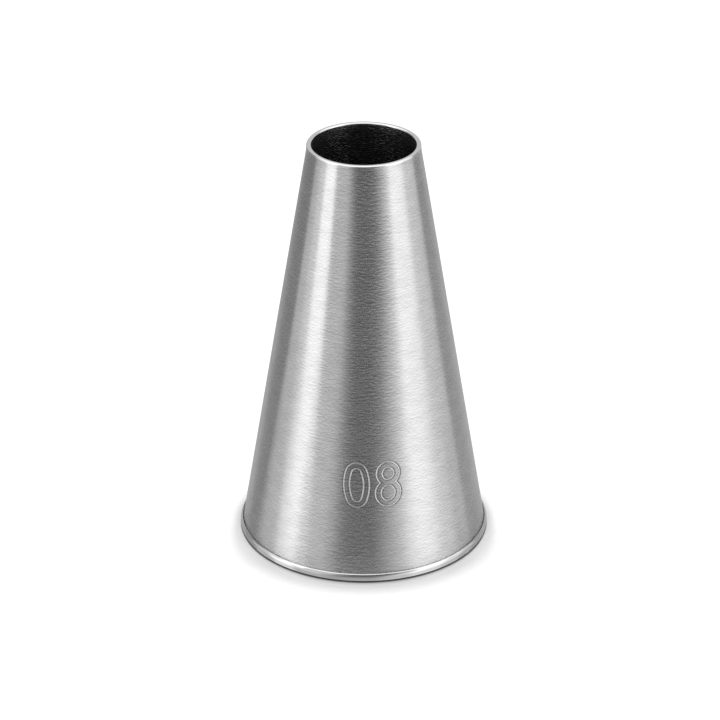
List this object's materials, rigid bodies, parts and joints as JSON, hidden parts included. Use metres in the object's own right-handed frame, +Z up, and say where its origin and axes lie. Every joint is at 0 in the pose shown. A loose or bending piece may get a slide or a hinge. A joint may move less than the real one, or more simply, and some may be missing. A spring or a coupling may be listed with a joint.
{
  "type": "piping nozzle",
  "caption": "Conical pastry piping nozzle in thin brushed steel, open at both ends, with a round lipped tip and a narrow folded rim at its base.",
  "frame": {"origin": "centre of the circle that the base rim stands on", "axes": "+Z up along the nozzle's axis, out of the tip; -Y towards the side with the number; +X to that side's right"},
  "size_m": [0.018, 0.018, 0.03],
  "materials": {
    "brushed_wall": "satin stainless steel, brushed round the axis",
    "turned_rim": "stainless steel, turned and lightly polished"
  },
  "bodies": {
    "root": {"cone_wall": "brushed_wall", "base_rim": "turned_rim"}
  },
  "joints": []
}
